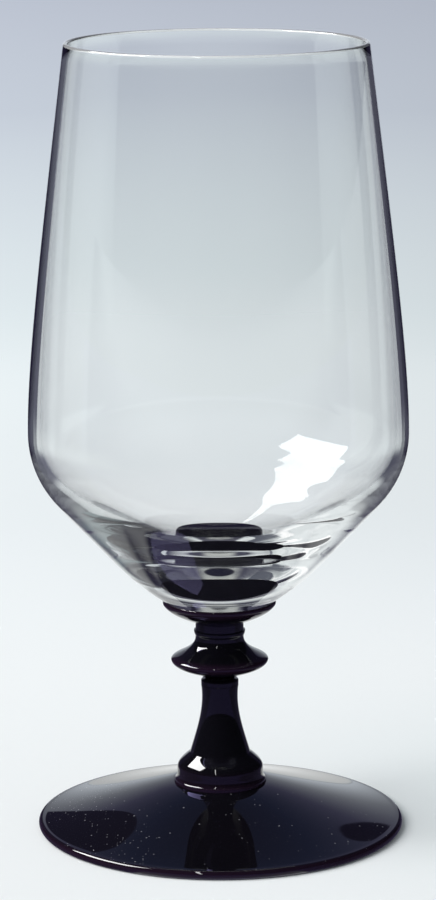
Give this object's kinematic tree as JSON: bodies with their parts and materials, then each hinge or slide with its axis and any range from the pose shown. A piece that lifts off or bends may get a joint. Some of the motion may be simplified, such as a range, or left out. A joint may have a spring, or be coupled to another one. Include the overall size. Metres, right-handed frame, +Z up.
{
  "type": "iced tea glass",
  "caption": "Footed iced tea glass: a tall clear bowl drawn in at the rim, on a black glass stem with a saucer collar, a flattened knop and a broad conical foot.",
  "frame": {"origin": "centre of the foot, on the table", "axes": "+Z up along the glass's axis; the glass is round, so X and Y are alike"},
  "size_m": [0.0852, 0.0852, 0.1779],
  "materials": {
    "clear_glass": "fire polished, clear",
    "black_glass": "fire polished, opaque black"
  },
  "bodies": {
    "root": {"bowl": "clear_glass", "collar": "black_glass", "knop": "black_glass", "stem": "black_glass", "foot": "black_glass"}
  },
  "joints": []
}
